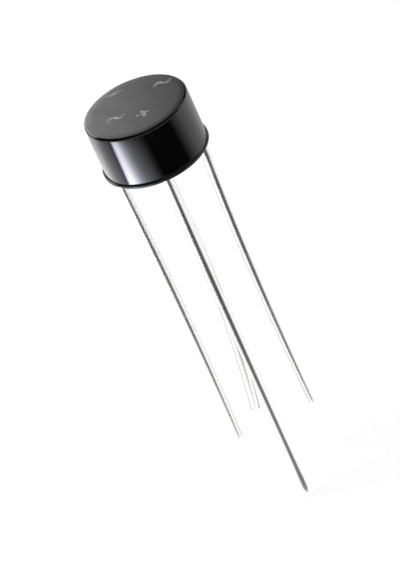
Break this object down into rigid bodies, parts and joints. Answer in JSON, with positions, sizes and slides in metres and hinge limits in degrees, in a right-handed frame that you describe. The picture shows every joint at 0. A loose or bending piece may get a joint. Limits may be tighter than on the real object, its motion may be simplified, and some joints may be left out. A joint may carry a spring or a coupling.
{
  "type": "bridge rectifier",
  "caption": "Round black moulded bridge rectifier for through-hole boards, with four tinned wire leads in a square and the positive lead longest.",
  "frame": {"origin": "middle of the case's flat underside, which is the seating plane on a board", "axes": "+Z along the case's axis up to its flat top, leads along -Z; the sides of the lead square run along X and Y, and the positive lead stands at +X -Y"},
  "size_m": [0.009, 0.009, 0.039],
  "materials": {
    "case_compound": "glossy moulded wall, satin top face",
    "tinned_copper": "bright tin over copper wire",
    "silicon": "polished silicon die with a glassed bevel",
    "solder": "soft solder"
  },
  "bodies": {
    "root": {"case": "case_compound", "lead_plus": "tinned_copper", "lead_minus": "tinned_copper", "lead_ac_left": "tinned_copper", "lead_ac_right": "tinned_copper", "die_plus_left": "silicon", "die_plus_right": "silicon", "die_minus_right": "silicon", "die_minus_left": "silicon", "solder_plus_left_upper": "solder", "solder_plus_left_lower": "solder", "solder_plus_right_upper": "solder", "solder_plus_right_lower": "solder", "solder_minus_right_upper": "solder", "solder_minus_right_lower": "solder", "solder_minus_left_upper": "solder", "solder_minus_left_lower": "solder"}
  },
  "joints": []
}
